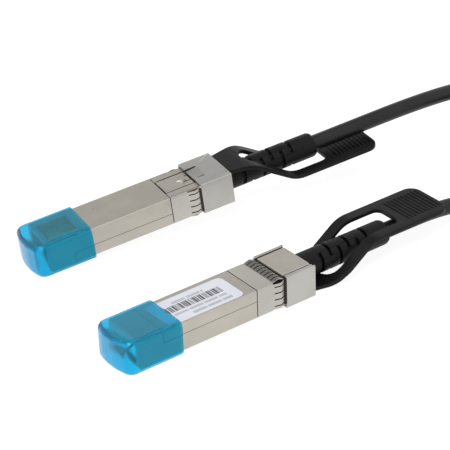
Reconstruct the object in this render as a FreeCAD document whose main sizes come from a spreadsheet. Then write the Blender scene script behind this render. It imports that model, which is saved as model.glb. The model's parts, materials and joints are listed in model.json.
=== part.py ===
"""Direct attach copper cable: two small pluggable connectors joined by one twin-axial cable.

Each connector is modelled once, in the connector's own frame, and placed twice:
  x = 0   the front face of the rear sleeve, which stops against the cage; the nose is at -x
  z = 0   the latch side of the cast body; the label side is at z = body_height
  y = 0   the middle of the width
Connector a lies with its latch side up, connector b with its label side up.
The table is z = 0, and the origin lies on it, below the middle of the two connectors.
All sizes are millimetres and degrees.
"""
import FreeCAD, Part

import math
import os
import re

import Sketcher

DOC = FreeCAD.newDocument("attach_cable")
VEC = FreeCAD.Vector

# ---------------------------------------------------------------- driving sizes
SIZES = (
    # where the two connectors lie
    ("plug_a_x", -2.4, "connector a, sleeve front face"),
    ("plug_a_y", 27.6, "connector a, middle"),
    ("plug_a_pitch", 6.0, "tail of connector a is held up by its stiff cable, which lies on the coil"),
    ("plug_b_x", -3.0, "connector b, sleeve front face"),
    ("plug_b_y", -19.8, "connector b, middle"),
    ("plug_b_yaw", 9.1, "connector b is turned about the vertical"),
    # cast body in two halves
    ("body_width", 13.5, "cast body"),
    ("body_height", 8.5, "cast body, latch side to label side"),
    ("nose_reach", 47.5, "cast body in front of the sleeve face"),
    ("shell_rear", 9.3, "cast body behind the sleeve face"),
    ("seam_height", 5.1, "joint of the two halves above the latch side"),
    ("nose_length", 7.5, "full-height nose in front of the upper half"),
    ("shell_wall", 1.0, "floor and roof of the cast body"),
    ("shell_edge", 0.4, "outer edge radius of the cast body"),
    ("nose_bevel", 0.3, "bevel round the nose"),
    ("nose_room", 2.95, "room above the card in the nose"),
    ("nose_rim", 1.5, "rim in front of the opening below the contacts"),
    ("contact_window", 8.9, "opening below the contacts"),
    ("wire_bay_half", 3.6, "half width of the space for the wires"),
    ("wire_bay_floor", 3.2, "floor of the space for the wires"),
    ("bulkhead", 10.6, "front of the wire space, in front of the sleeve face"),
    ("deck_margin", 1.15, "raised deck in from the sides of the cast body"),
    ("deck_rise", 0.4, "deck above the label side"),
    ("deck_gutter", 0.1, "cast body below the sleeve's turned-in edges"),
    ("deck_round", 0.8, "rear corners of the deck"),
    ("deck_edge", 0.15, "bevel round the deck"),
    ("post_length", 2.0, "posts that hold the card down"),
    # paddle card
    ("card_width", 9.2, "circuit card"),
    ("card_thick", 1.0, "circuit card"),
    ("card_height", 2.25, "underside of the card above the latch side"),
    ("card_setback", 3.2, "front edge of the card behind the nose"),
    ("card_rear", 12.0, "rear edge of the card"),
    ("card_ledge", 0.5, "ledge of the cast body below each side of the card"),
    ("card_gap", 0.1, "play of the card in the cast body"),
    ("contact_count", 10, "contacts on each face"),
    ("contact_pitch", 0.8, "contact spacing"),
    ("contact_width", 0.5, "contact"),
    ("contact_length", 3.2, "contact"),
    ("contact_thick", 0.05, "contact plating"),
    ("chip_length", 4.0, "memory chip"),
    ("chip_width", 3.0, "memory chip"),
    ("chip_height", 1.0, "memory chip"),
    ("chip_setback", 8.0, "memory chip behind the contacts"),
    # spring collar
    ("collar_front", 9.4, "front edge of the collar"),
    ("collar_rear", 0.6, "free ends of the collar fingers"),
    ("collar_thick", 0.2, "collar sheet"),
    ("collar_gap", 0.05, "play below the collar sheet"),
    ("collar_groove", 0.25, "groove in the cast body in front of the collar"),
    ("collar_lip", 0.75, "turned-in lip on the latch side"),
    ("finger_root", 4.2, "where the fingers start"),
    ("finger_rise", 0.55, "crest of the fingers above the collar"),
    ("finger_crest", 2.0, "crest of the fingers"),
    ("finger_slot", 0.35, "slot between fingers"),
    ("finger_pitch", 1.95, "spacing of the fingers on the narrow sides"),
    ("finger_pitch_top", 1.45, "spacing of the fingers on the label side"),
    # rear sleeve
    ("sleeve_length", 9.7, "sleeve"),
    ("sleeve_fit", 0.1, "play between the sleeve's walls and the cast body"),
    ("sleeve_drop", 0.3, "room between the sleeve's floor and the cast body"),
    ("sleeve_sheet", 0.4, "sleeve sheet"),
    ("sleeve_turn", 1.25, "sleeve's edges turned in over the label side, from its outer face"),
    ("sleeve_turn_end", 0.5, "turned-in edges stop before the sleeve's rear end"),
    ("sleeve_fold", 0.5, "outer fold radius"),
    ("flap_half", 2.8, "slits beside the bent flap, from the middle"),
    ("flap_length", 3.4, "length of the slits"),
    ("flap_slit", 0.5, "width of the slits"),
    ("flap_dip", 0.42, "how far the flap's tip is bent in"),
    ("dimple_radius", 0.45, "stake dimples near the rear corners"),
    ("dimple_inset", 0.9, "stake dimples from the edges"),
    # latch lever
    ("lever_half", 3.45, "half width of the lever"),
    ("lever_gap", 0.4, "gap beside the lever"),
    ("lever_thick", 0.7, "lever plate"),
    ("lever_inset", 0.05, "lever below the latch side"),
    ("lever_front", 9.15, "front end of the lever"),
    ("lever_rear", 0.35, "rear end of the lever plate"),
    ("lever_pocket", 2.1, "depth of the pocket for the lever"),
    ("pivot_x", 8.6, "lever pivot in front of the sleeve face"),
    ("pivot_radius", 0.45, "trunnions of the lever"),
    ("pivot_length", 0.8, "each trunnion"),
    ("pivot_fit", 0.05, "radial play of the trunnions"),
    ("boss_rear", 1.6, "upright rear face of the latch boss"),
    ("boss_length", 2.6, "latch boss"),
    ("boss_width", 2.6, "latch boss"),
    ("boss_height", 0.6, "latch boss above the latch side"),
    ("tongue_half", 1.2, "half width of the lever's tail"),
    ("tongue_slot", 0.35, "slots beside the tail's root"),
    ("tongue_slot_length", 2.5, "slots beside the tail's root"),
    ("tail_low", 1.25, "underside of the tail"),
    ("tail_thick", 0.35, "tail sheet"),
    ("tail_end", 2.6, "end of the tail behind the sleeve face"),
    ("tail_bar", 0.7, "length of the cross bar on the tail"),
    ("tail_bar_half", 2.4, "half width of the cross bar"),
    ("tail_room", 2.85, "roof of the space for the tail"),
    # leaf spring of the lever
    ("spring_length", 6.0, "leaf spring"),
    ("spring_width", 2.6, "leaf spring"),
    ("spring_thick", 0.2, "leaf spring"),
    ("spring_inset", 1.4, "flat ends of the spring, and its front end from the pivot"),
    # slide that lifts the lever
    ("slide_thick", 0.25, "slide plate"),
    ("slide_half", 2.5, "half width of the slide plate"),
    ("slide_front", 0.4, "front end of the slide"),
    ("slide_length", 5.3, "slide plate"),
    ("cam_width", 0.8, "each cam of the slide"),
    ("lever_lift", 0.95, "lift of the lever's cross bar at full travel"),
    ("fit_gap", 0.1, "running gap between sliding faces"),
    # pull tab
    ("tab_travel", 1.5, "pull of the tab"),
    ("tab_front", 1.5, "front end of the tab"),
    ("tab_root_half", 5.5, "half width inside the sleeve"),
    ("tab_root_low", 0.05, "underside of the tab's root above the latch side"),
    ("tab_root_top", 0.75, "upper face of the tab's root"),
    ("tab_half", 8.0, "half width of the grip"),
    ("tab_thick", 1.2, "strap"),
    ("tab_rise_start", 17.5, "where the strap turns up"),
    ("tab_rise_run", 12.5, "length of the slope, along x"),
    ("tab_bend", 8.0, "inner radius of the two bends"),
    ("tab_top", 9.4, "outer face of the grip"),
    ("tab_end", 57.4, "rear end of the grip"),
    ("tab_corner", 3.5, "rear corners of the grip"),
    ("tab_flare_start", 10.5, "where the root widens"),
    ("tab_flare_end", 21.5, "where the full width is reached"),
    ("window_front", 16.4, "front end of the opening round the boot"),
    ("window_rear", 41.7, "rear end of the opening"),
    ("window_half", 4.7, "half width of the opening"),
    ("window_front_round", 4.5, "front corners of the opening"),
    ("window_rear_round", 2.0, "rear corners of the opening"),
    ("groove_count", 10, "grip grooves"),
    ("groove_pitch", 1.25, "grip grooves"),
    ("groove_width", 0.6, "grip grooves"),
    ("groove_depth", 0.25, "grip grooves"),
    ("groove_half", 5.4, "half length of the grooves"),
    ("groove_start", 44.2, "first groove"),
    # boot, ferrule and cable
    ("axis_height", 4.8, "cable axis above the latch side"),
    ("cable_diameter", 4.6, "jacket"),
    ("boot_radius", 3.75, "boot at the sleeve"),
    ("boot_tip_radius", 3.6, "boot at its end"),
    ("boot_end", 39.6, "rear end of the boot"),
    ("boot_edge", 1.0, "rounded end of the boot"),
    ("boot_neck_radius", 3.1, "neck through the rear wall"),
    ("boot_bore_gap", 0.05, "bore of the boot round the jacket"),
    ("boot_slot_first", 15.4, "first slot"),
    ("boot_slot_step", 3.2, "next slot, on the other two sides"),
    ("boot_slot_count", 6, "slots, in crossed pairs"),
    ("boot_slot_width", 1.1, "slot"),
    ("boot_slot_core", 2.75, "radius below the slots"),
    ("boot_slot_half", 3.25, "half height of a slot"),
    ("boot_slot_start", 1.8, "slots reach this close to the middle plane of the boot"),
    ("rear_wall", 1.2, "rear wall of the cast body"),
    ("flange_thick", 1.5, "boot flange in the cast body"),
    ("flange_half", 4.2, "half width of the flange"),
    ("flange_low", 1.3, "underside of the flange"),
    ("flange_top", 7.5, "upper side of the flange"),
    ("ferrule_front", 10.0, "crimp ferrule in the boot"),
    ("ferrule_length", 3.4, "crimp ferrule"),
    ("ferrule_radius", 2.9, "crimp ferrule"),
    ("jacket_end", 10.5, "front end of the jacket"),
    ("core_radius", 0.5, "insulated core"),
    ("core_count", 4, "insulated cores"),
    ("core_pitch", 1.1, "cores, from middle to middle"),
    # label and dust cap
    ("label_front", 37.5, "front edge of the label"),
    ("label_rear", 13.0, "rear edge of the label"),
    ("label_near", 0.5, "margin of the label on the -y side"),
    ("label_far", 1.75, "margin of the label on the +y side"),
    ("label_thick", 0.08, "label"),
    ("label_corner", 1.6, "label corners"),
    ("cap_wall", 0.7, "dust cap"),
    ("cap_fit", 0.2, "gap between cap and body"),
    ("cap_length", 17.8, "cap"),
    ("cap_end_gap", 3.4, "room between the nose and the middle of the cap's end"),
    ("cap_nose_wall", 1.2, "end wall of the cap"),
    ("cap_bulge", 1.2, "middle of the cap's end in front of its corners"),
    ("cap_crown_half", 2.4, "half width of the foremost part of the end"),
    ("cap_crown_round", 14.0, "bend between the foremost part and the slopes beside it"),
    ("cap_nose_round", 3.0, "upright edges at the end of the cap"),
    ("cap_edge", 1.7, "other outer edges of the cap"),
    # stored length of cable
    ("coil_x", 121.7, "middle of the coil"),
    ("coil_y", 4.6, "middle of the coil"),
    ("coil_radius", 23.0, "middle of the turns"),
    ("coil_columns", 2, "turns side by side"),
    ("coil_rows", 3, "turns on each other"),
    ("coil_slack", 0.6, "looseness of the bundle"),
    ("tie_width", 9.0, "tie round the coil"),
    ("tie_thick", 1.0, "tie round the coil"),
    ("tie_play", 0.1, "tie from the bundle"),
    ("tie_sunk", 0.25, "thickness of the tie where the bundle lies on it"),
)

SHEET = DOC.addObject("Spreadsheet::Sheet", "Sizes")
for row, (alias, number, note) in enumerate(SIZES, start=1):
    SHEET.set(f"A{row}", note)
    SHEET.set(f"B{row}", str(number))
    SHEET.setAlias(f"B{row}", alias)
DOC.recompute()
WORDS = {alias for alias, _, _ in SIZES}


# ---------------------------------------------------------------- tools of the model
def rule(text):
    """The expression for a text that names sizes by their alias."""
    return re.sub(r"[a-z_]+", lambda found: f"Sizes.{found[0]}" if found[0] in WORDS else found[0], text)


def size(text):
    """The number that a text of sizes comes to."""
    return float(SHEET.evalExpression(rule(text)))


def bind(item, **rules):
    """Tie properties of an object to the sheet."""
    for prop, text in rules.items():
        item.setExpression(prop.replace("__", "."), rule(text))
    return item


def block(name, x, y, z):
    """A box from the low to the high rule on each axis."""
    box = DOC.addObject("Part::Box", name)
    for prop, word, (low, high) in zip(("Length", "Width", "Height"), "xyz", (x, y, z)):
        box.setExpression(prop, rule(f"({high}) - ({low})"))
        box.setExpression(f"Placement.Base.{word}", rule(low))
    return box


def middle(half):
    """The y range of something centred on the connector."""
    return f"-({half})", half


def rod(name, radius, x, z="axis_height", y="0"):
    """A cylinder along x, from the low to the high rule."""
    item = DOC.addObject("Part::Cylinder", name)
    item.Placement = FreeCAD.Placement(VEC(), FreeCAD.Rotation(VEC(0, 1, 0), 90))
    bind(item, Radius=radius, Height=f"({x[1]}) - ({x[0]})")
    return bind(item, Placement__Base__x=x[0], Placement__Base__y=y, Placement__Base__z=z)


def cross_rod(name, radius, half, x, z):
    """A cylinder along y, centred on the connector."""
    item = DOC.addObject("Part::Cylinder", name)
    item.Placement = FreeCAD.Placement(VEC(), FreeCAD.Rotation(VEC(1, 0, 0), -90))
    bind(item, Radius=radius, Height=f"2 * ({half})")
    return bind(item, Placement__Base__x=x, Placement__Base__y=f"-({half})", Placement__Base__z=z)


def fuse(name, items):
    joined = DOC.addObject("Part::MultiFuse", name)
    joined.Shapes = items
    return joined


def cut(name, base, tools):
    """The base less every tool."""
    item = DOC.addObject("Part::Cut", name)
    item.Base = base
    item.Tool = tools[0] if len(tools) == 1 else fuse(f"{name}_tools", tools)
    return item


def group(name, items):
    """Separate solids that are one node."""
    item = DOC.addObject("Part::Compound", name)
    item.Links = items
    return item


def outline(body, name, plane, corners):
    """A closed sketch on an origin plane whose corners are tied to the sheet."""
    sketch = body.newObject("Sketcher::SketchObject", name)
    faces = [face for face in body.Origin.OriginFeatures if face.Role == plane]
    sketch.AttachmentSupport = [(faces[0], "")]
    sketch.MapMode = "FlatFace"
    points = [VEC(size(across), size(up), 0) for across, up in corners]
    count = len(points)
    for index, point in enumerate(points):
        sketch.addGeometry(Part.LineSegment(point, points[(index + 1) % count]), False)
    for index in range(count):
        sketch.addConstraint(Sketcher.Constraint("Coincident", index, 2, (index + 1) % count, 1))
    for index, point in enumerate(points):
        for kind, value, text in zip(("DistanceX", "DistanceY"), (point.x, point.y), corners[index]):
            tied = sketch.addConstraint(Sketcher.Constraint(kind, -1, 1, index, 1, value))
            sketch.setExpression(f"Constraints[{tied}]", rule(text))
    return sketch


def feature(body, kind, name, sketch, length):
    """A pad or pocket of a sketch, half to each side of its plane."""
    item = body.newObject(f"PartDesign::{kind}", name)
    item.Profile = sketch
    item.Midplane = True
    bind(item, Length=length)
    DOC.recompute()
    return item


def soften(body, name, amount, chosen, kind="Fillet"):
    """A fillet or chamfer on the edges of the body that a test picks out."""
    base = body.Tip
    edges = [f"Edge{index}" for index, edge in enumerate(base.Shape.Edges, 1) if chosen(edge)]
    item = body.newObject(f"PartDesign::{kind}", name)
    item.Base = (base, edges)
    item.setExpression("Radius" if kind == "Fillet" else "Size", rule(amount))
    DOC.recompute()
    return item


def runs_along(edge, axis):
    """Whether an edge is straight and parallel to an axis."""
    if not isinstance(edge.Curve, Part.Line):
        return False
    return abs(abs(edge.Curve.Direction.dot(axis)) - 1) < 1e-6


def lies_at(edge, **places):
    """Whether the middle of an edge has the given coordinates."""
    centre = edge.CenterOfMass
    return all(abs(getattr(centre, word) - place) < 1e-4 for word, place in places.items())


# Places that follow from the sizes.
CARD_FRONT = "(nose_reach - card_setback)"
COVER_FRONT = "(nose_reach - nose_length)"
DECK_HALF = "(body_width / 2 - deck_margin)"
SLEEVE_HALF = "(body_width / 2 + sleeve_fit + sleeve_sheet)"
SLEEVE_LOW = "(sleeve_drop + sleeve_sheet)"
SLEEVE_TOP = "(body_height + sleeve_sheet)"
CAP_REACH = "(nose_reach + cap_end_gap + cap_nose_wall)"
CAP_MOUTH = f"({CAP_REACH} - cap_length)"
CAP_OUT = "(cap_fit + cap_wall)"
# How far the middle of the boot's rounded end lies inside the sharp corner.
BOOT_SAG = "(boot_edge * (1 - sqrt(0.5)))"
# The cams rise towards the nose as the cross bar does over the travel, half a running gap below it.
CAM_SLOPE = "(lever_lift / tab_travel)"
CAM_TOP = f"(tail_low - fit_gap / 2 + (tail_end - tail_bar - slide_front) * {CAM_SLOPE})"
CAM_LENGTH = f"(({CAM_TOP} - tab_root_top) / {CAM_SLOPE})"

ALONG_X = VEC(1, 0, 0)
ALONG_Y = VEC(0, 1, 0)
ALONG_Z = VEC(0, 0, 1)


# ---------------------------------------------------------------- cast body
def collar_seat(name):
    """What the cast body loses below the collar, on three sides and under the lips."""
    x = ("-collar_front - collar_groove", "-collar_rear + finger_slot")
    deep = "collar_thick + collar_gap"
    side = f"body_width / 2 - ({deep})"
    return [
        block(f"{name}_left", x, (side, "body_width"), ("-body_height", "2 * body_height")),
        block(f"{name}_right", x, ("-body_width", f"-({side})"), ("-body_height", "2 * body_height")),
        block(f"{name}_roof", x, middle("body_width"), (f"body_height - ({deep})", "2 * body_height")),
        block(f"{name}_lip_left", x, ("body_width / 2 - collar_lip", "body_width"), ("-body_height", deep)),
        block(f"{name}_lip_right", x, ("-body_width", "collar_lip - body_width / 2"),
              ("-body_height", deep)),
    ]


def boot_seat(name):
    """Room for the boot's flange and neck in the rear wall, and for the wires before it."""
    flange = ("shell_rear - rear_wall - flange_thick", "shell_rear - rear_wall")
    return [
        block(f"{name}_flange", flange, middle("flange_half"), ("flange_low", "flange_top")),
        rod(f"{name}_neck", "boot_neck_radius", ("shell_rear - 2 * rear_wall", "shell_rear + rear_wall")),
        block(f"{name}_wires", ("-bulkhead - shell_wall", flange[0]), middle("wire_bay_half"),
              ("wire_bay_floor", "body_height - shell_wall")),
    ]


def card_bay(name):
    """Room for the card and its parts, from the nose to the wire space."""
    x = (f"-{COVER_FRONT} - shell_wall", "-bulkhead")
    return [
        block(f"{name}_upper", x, middle("card_width / 2 + card_gap"),
              ("card_height", "body_height - shell_wall")),
        block(f"{name}_lower", x, middle("card_width / 2 - card_ledge"), ("shell_wall", "body_height / 2")),
    ]


def make_base():
    """Latch-side half: full height at the nose, half height behind it."""
    body = DOC.addObject("PartDesign::Body", "base_block")
    side = outline(body, "base_side", "XZ_Plane", (
        ("-nose_reach", "0"),
        ("shell_rear", "0"),
        ("shell_rear", "seam_height"),
        (f"-{COVER_FRONT}", "seam_height"),
        (f"-{COVER_FRONT}", "body_height"),
        ("-nose_reach", "body_height"),
    ))
    feature(body, "Pad", "base_pad", side, "body_width")
    half, tall, nose = size("body_width / 2"), size("body_height"), -size("nose_reach")

    soften(body, "base_edges", "shell_edge",
           lambda edge: runs_along(edge, ALONG_X) and abs(abs(edge.CenterOfMass.y) - half) < 1e-4
           and (abs(edge.CenterOfMass.z) < 1e-4 or abs(edge.CenterOfMass.z - tall) < 1e-4))
    soften(body, "base_nose", "nose_bevel", lambda edge: lies_at(edge, x=nose), "Chamfer")
    lever_side = "lever_half + lever_gap"
    hollows = card_bay("base_card") + boot_seat("base_boot") + collar_seat("base_collar") + [
        block("base_mouth", ("-nose_reach - shell_wall", f"-{COVER_FRONT}"),
              middle("card_width / 2 + card_gap"), ("shell_wall", "card_height + card_thick + nose_room")),
        block("base_window", ("nose_rim - nose_reach", "nose_rim + contact_window - nose_reach"),
              middle("card_width / 2 - card_ledge"), ("-shell_wall", "card_height")),
        block("base_wires_front", ("-bulkhead - shell_wall", "0"), middle("wire_bay_half"),
              ("wire_bay_floor", "body_height")),
        block("base_lever", ("-lever_front - lever_gap", "lever_gap"), middle(lever_side),
              ("-shell_wall", "lever_pocket")),
        cross_rod("base_pivot", "pivot_radius + pivot_fit", f"{lever_side} + pivot_length",
                  "-pivot_x", "lever_inset + lever_thick"),
        block("base_tail",
              ("-lever_rear - tongue_slot_length", f"slide_front + {CAM_LENGTH} + tab_travel + fit_gap"),
              middle("tail_bar_half + fit_gap"), ("-shell_wall", "tail_room")),
        block("base_slide", ("0", "slide_front + slide_length + tab_travel + fit_gap"),
              middle("slide_half + fit_gap"), ("-shell_wall", "tab_root_top + fit_gap + slide_thick")),
        block("base_tab", ("tab_front - 2 * fit_gap", "2 * shell_rear"), middle("tab_root_half + fit_gap"),
              ("-shell_wall", "tab_root_top + fit_gap")),
    ]
    return cut("base", body, hollows)


def make_cover():
    """Label-side half, with the raised deck that shows between the sleeve walls."""
    body = DOC.addObject("PartDesign::Body", "cover_block")
    side = outline(body, "cover_side", "XZ_Plane", (
        (f"-{COVER_FRONT}", "seam_height"),
        ("shell_rear", "seam_height"),
        ("shell_rear", "body_height"),
        (f"-{COVER_FRONT}", "body_height"),
    ))
    feature(body, "Pad", "cover_pad", side, "body_width")
    half, tall = size("body_width / 2"), size("body_height")
    soften(body, "cover_edges", "shell_edge",
           lambda edge: runs_along(edge, ALONG_X) and lies_at(edge, z=tall) and abs(
               abs(edge.CenterOfMass.y) - half) < 1e-4)
    deck_body = DOC.addObject("PartDesign::Body", "deck_block")
    plan = outline(deck_body, "deck_side", "XZ_Plane", (
        ("fit_gap", "body_height - deck_gutter"),
        ("shell_rear", "body_height - deck_gutter"),
        ("shell_rear", "body_height + deck_rise"),
        ("fit_gap", "body_height + deck_rise"),
    ))
    feature(deck_body, "Pad", "deck_pad", plan, f"2 * {DECK_HALF}")
    soften(deck_body, "deck_corners", "deck_round",
           lambda edge: runs_along(edge, ALONG_Z) and lies_at(edge, x=size("shell_rear")))
    soften(deck_body, "deck_edges", "deck_edge",
           lambda edge: lies_at(edge, z=size("body_height + deck_rise")), "Chamfer")
    gutter = ("body_height - deck_gutter", "2 * body_height")
    x = ("-fit_gap", "2 * shell_rear")
    hollows = card_bay("cover_card") + boot_seat("cover_boot") + collar_seat("cover_collar") + [
        block("cover_gutter_left", x, (DECK_HALF, "body_width"), gutter),
        block("cover_gutter_right", x, ("-body_width", f"-{DECK_HALF}"), gutter),
    ]
    roof = ("card_height + card_thick + card_gap / 2", "body_height - shell_wall / 2")
    posts = []
    starts = (("front", f"-{COVER_FRONT} + 3 * post_length"), ("rear", "-bulkhead - 3 * post_length"))
    for word, start in starts:
        for side_word, low in (("left", "card_width / 2 - post_length / 2"), ("right", "-card_width / 2")):
            posts.append(block(f"post_{word}_{side_word}", (start, f"{start} + post_length"),
                               (low, f"{low} + post_length / 2"), roof))
    return fuse("cover", [cut("cover_shell", fuse("cover_solid", [body, deck_body]), hollows)] + posts)


# ---------------------------------------------------------------- circuit card
def make_card():
    return block("card", (f"-{CARD_FRONT}", "-card_rear"), middle("card_width / 2"),
                 ("card_height", "card_height + card_thick"))


def make_contacts():
    """Two rows of gold contacts at the front edge, one on each face."""
    pads = []
    faces = (("top", "card_height + card_thick", "card_height + card_thick + contact_thick"),
             ("low", "card_height - contact_thick", "card_height"))
    x = (f"-{CARD_FRONT} + 2 * contact_thick", f"-{CARD_FRONT} + 2 * contact_thick + contact_length")
    for word, low, high in faces:
        for index in range(int(size("contact_count"))):
            start = f"({index} - (contact_count - 1) / 2) * contact_pitch - contact_width / 2"
            pads.append(block(f"contact_{word}_{index}", x,
                              (start, f"{start} + contact_width"), (low, high)))
    return group("contacts", pads)


def make_chip():
    front = f"-{CARD_FRONT} + contact_length + chip_setback"
    base = "card_height + card_thick"
    return block("chip", (front, f"{front} + chip_length"), middle("chip_width / 2"),
                 (base, f"{base} + chip_height"))


# ---------------------------------------------------------------- spring collar
def finger_panel(name, face, half):
    """One side of the collar fingers: a bulged strip, before its slots are cut."""
    body = DOC.addObject("PartDesign::Body", name)
    front, crest, rear = "-finger_root", "-finger_crest", "-collar_rear"
    low = f"({face}) - collar_thick"
    section = outline(body, f"{name}_section", "XZ_Plane", (
        (front, low), (crest, f"{low} + finger_rise"), (rear, low),
        (rear, face), (crest, f"{face} + finger_rise"), (front, face)))
    feature(body, "Pad", f"{name}_pad", section, f"2 * ({half})")
    return body


def make_collar():
    """Stamped spring collar: a sheet on three sides with lips, and a row of contact fingers."""
    x = ("-collar_front", "-finger_root")
    half = "body_width / 2"
    inner = f"{half} - collar_thick"
    skin = DOC.addObject("PartDesign::Body", "collar_block")
    side = outline(skin, "collar_section", "YZ_Plane", (
        (f"-({half})", "0"), (half, "0"), (half, "body_height"), (f"-({half})", "body_height")))
    pad = skin.newObject("PartDesign::Pad", "collar_pad")
    pad.Profile = side
    pad.Reversed = True
    bind(pad, Length="collar_front")
    DOC.recompute()
    soften(skin, "collar_edges", "shell_edge", lambda edge: runs_along(edge, ALONG_X))
    room = [
        block("collar_inside", ("-2 * collar_front", "collar_front"), middle(inner),
              ("collar_thick", "body_height - collar_thick")),
        block("collar_mouth", ("-2 * collar_front", "collar_front"),
              middle(f"{half} - collar_lip + collar_gap"), ("-body_height", "body_height / 2")),
        block("collar_rear_room", ("-finger_root", "collar_front"), middle("body_width"),
              ("-body_height", "2 * body_height")),
    ]
    sheet = cut("collar_sheet", skin, room)
    top = finger_panel("fingers_top", "body_height", f"{inner} - collar_thick")
    sides = []
    for word, sign in (("left", 1), ("right", -1)):
        panel = finger_panel(f"fingers_{word}", half, "body_height / 2 - 2 * collar_thick")
        turn = FreeCAD.Rotation(ALONG_X, -90 * sign)
        panel.Placement = FreeCAD.Placement(VEC(), turn)
        bind(panel, Placement__Base__z="body_height / 2")
        sides.append(panel)
    reach = ("-finger_root + finger_slot", "collar_rear")
    slots = []
    top_slots = int(size("(2 * (body_width / 2 - 2 * collar_thick)) / finger_pitch_top"))
    for index in range(top_slots):
        y = f"({index} - ({top_slots} - 1) / 2) * finger_pitch_top - finger_slot / 2"
        slots.append(block(f"slot_top_{index}", reach, (y, f"{y} + finger_slot"),
                           ("body_height / 2 + 2 * finger_pitch", "2 * body_height")))
    side_slots = int(size("body_height / finger_pitch"))
    outward = (("left", ("body_width / 4", "body_width")), ("right", ("-body_width", "-body_width / 4")))
    for index in range(side_slots):
        z = f"body_height / 2 + ({index} - ({side_slots} - 1) / 2) * finger_pitch - finger_slot / 2"
        for word, y in outward:
            slots.append(block(f"slot_{word}_{index}", reach, y, (z, f"{z} + finger_slot")))
    return cut("collar", fuse("collar_whole", [sheet, top] + sides), slots)


# ---------------------------------------------------------------- rear sleeve
def make_sleeve():
    """Folded sheet: turned-in edges on the label side, and a flap bent in on the latch side."""
    body = DOC.addObject("PartDesign::Body", "sleeve_block")
    half = SLEEVE_HALF
    side = outline(body, "sleeve_section", "YZ_Plane", (
        (f"-{half}", f"-{SLEEVE_LOW}"), (half, f"-{SLEEVE_LOW}"),
        (half, SLEEVE_TOP), (f"-{half}", SLEEVE_TOP)))
    pad = body.newObject("PartDesign::Pad", "sleeve_pad")
    pad.Profile = side
    bind(pad, Length="sleeve_length")
    DOC.recompute()
    soften(body, "sleeve_folds", "sleeve_fold",
           lambda edge: runs_along(edge, ALONG_X))
    floor = f"-{SLEEVE_LOW} + sleeve_sheet"
    ahead = ("-sleeve_sheet", "flap_length")
    outside = (f"-2 * {SLEEVE_LOW}", "0")
    through = ("-sleeve_length", "2 * sleeve_length")
    hollows = [
        block("sleeve_room", through, middle(f"{half} - sleeve_sheet"), (floor, "body_height")),
        block("sleeve_opening", through, middle(f"{half} - sleeve_turn"), ("0", f"2 * {SLEEVE_TOP}")),
        block("sleeve_turn_rear", ("sleeve_length - sleeve_turn_end", "2 * sleeve_length"),
              middle(f"{half} - sleeve_sheet"), ("0", f"2 * {SLEEVE_TOP}")),
        block("flap_room", ahead, middle("flap_half + flap_slit / 2"), outside),
    ]
    inset = "dimple_inset"
    for word, y in (("left", f"{half} - {inset}"), ("right", f"-({half} - {inset})")):
        dimple = DOC.addObject("Part::Cone", f"dimple_{word}")
        bind(dimple, Radius1="dimple_radius", Radius2="dimple_radius / 4", Height="sleeve_sheet / 2",
             Placement__Base__x=f"sleeve_length - {inset}", Placement__Base__y=y,
             Placement__Base__z=f"-{SLEEVE_LOW}")
        hollows.append(dimple)
    flap = DOC.addObject("PartDesign::Body", "flap")
    section = outline(flap, "flap_section", "XZ_Plane", (
        ("fit_gap", f"flap_dip - {SLEEVE_LOW}"),
        ("flap_length + sleeve_sheet", f"-{SLEEVE_LOW}"),
        ("flap_length + sleeve_sheet", floor),
        ("fit_gap", f"flap_dip + {floor}"),
    ))
    feature(flap, "Pad", "flap_pad", section, "2 * flap_half - flap_slit")
    return fuse("sleeve", [cut("sleeve_channel", body, hollows), flap])


# ---------------------------------------------------------------- latch
def make_lever():
    """Latch lever: plate on two trunnions, three-cornered boss and a tail with a cross bar."""
    plate_z = ("lever_inset", "lever_inset + lever_thick")
    tail_top = "tail_low + tail_thick"
    riser = ("-lever_rear - lever_thick", "-lever_rear")
    solid = fuse("lever_solid", [
        block("lever_plate", ("-lever_front", "-lever_rear"), middle("lever_half"), plate_z),
        cross_rod("lever_pivot", "pivot_radius", "lever_half + lever_gap + pivot_length - pivot_fit",
                  "-pivot_x", "lever_inset + lever_thick"),
        block("lever_riser", riser, middle("tongue_half"), ("lever_inset", tail_top)),
        block("lever_tail", (riser[0], "tail_end"), middle("tongue_half"), ("tail_low", tail_top)),
        block("lever_bar", ("tail_end - tail_bar", "tail_end"), middle("tail_bar_half"),
              ("tail_low", tail_top)),
        make_boss(),
    ])
    slots = []
    x = ("-lever_rear - tongue_slot_length", "0")
    for word, low in (("left", "tongue_half"), ("right", "-tongue_half - tongue_slot")):
        slots.append(block(f"tongue_slot_{word}", x, (low, f"{low} + tongue_slot"),
                           ("-boss_height", "tail_low")))
    return cut("lever", solid, slots)


def make_boss():
    """The boss narrows to a point towards the nose and rises to its upright rear face."""
    plan = DOC.addObject("PartDesign::Body", "boss_plan")
    tip = "-boss_rear - boss_length"
    corners = (("-boss_rear", "-boss_width / 2"), ("-boss_rear", "boss_width / 2"), (tip, "0"))
    feature(plan, "Pad", "boss_plan_pad", outline(plan, "boss_plan_section", "XY_Plane", corners),
            "4 * boss_height")
    ramp = DOC.addObject("PartDesign::Body", "boss_ramp")
    sunk = "lever_inset + lever_thick / 2"
    corners = ((tip, sunk), (tip, "-boss_height / 3"), ("-boss_rear - boss_length / 3", "-boss_height"),
               ("-boss_rear", "-boss_height"), ("-boss_rear", sunk))
    feature(ramp, "Pad", "boss_ramp_pad", outline(ramp, "boss_ramp_section", "XZ_Plane", corners),
            "2 * boss_width")
    boss = DOC.addObject("Part::MultiCommon", "boss")
    boss.Shapes = [plan, ramp]
    return boss


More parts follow.
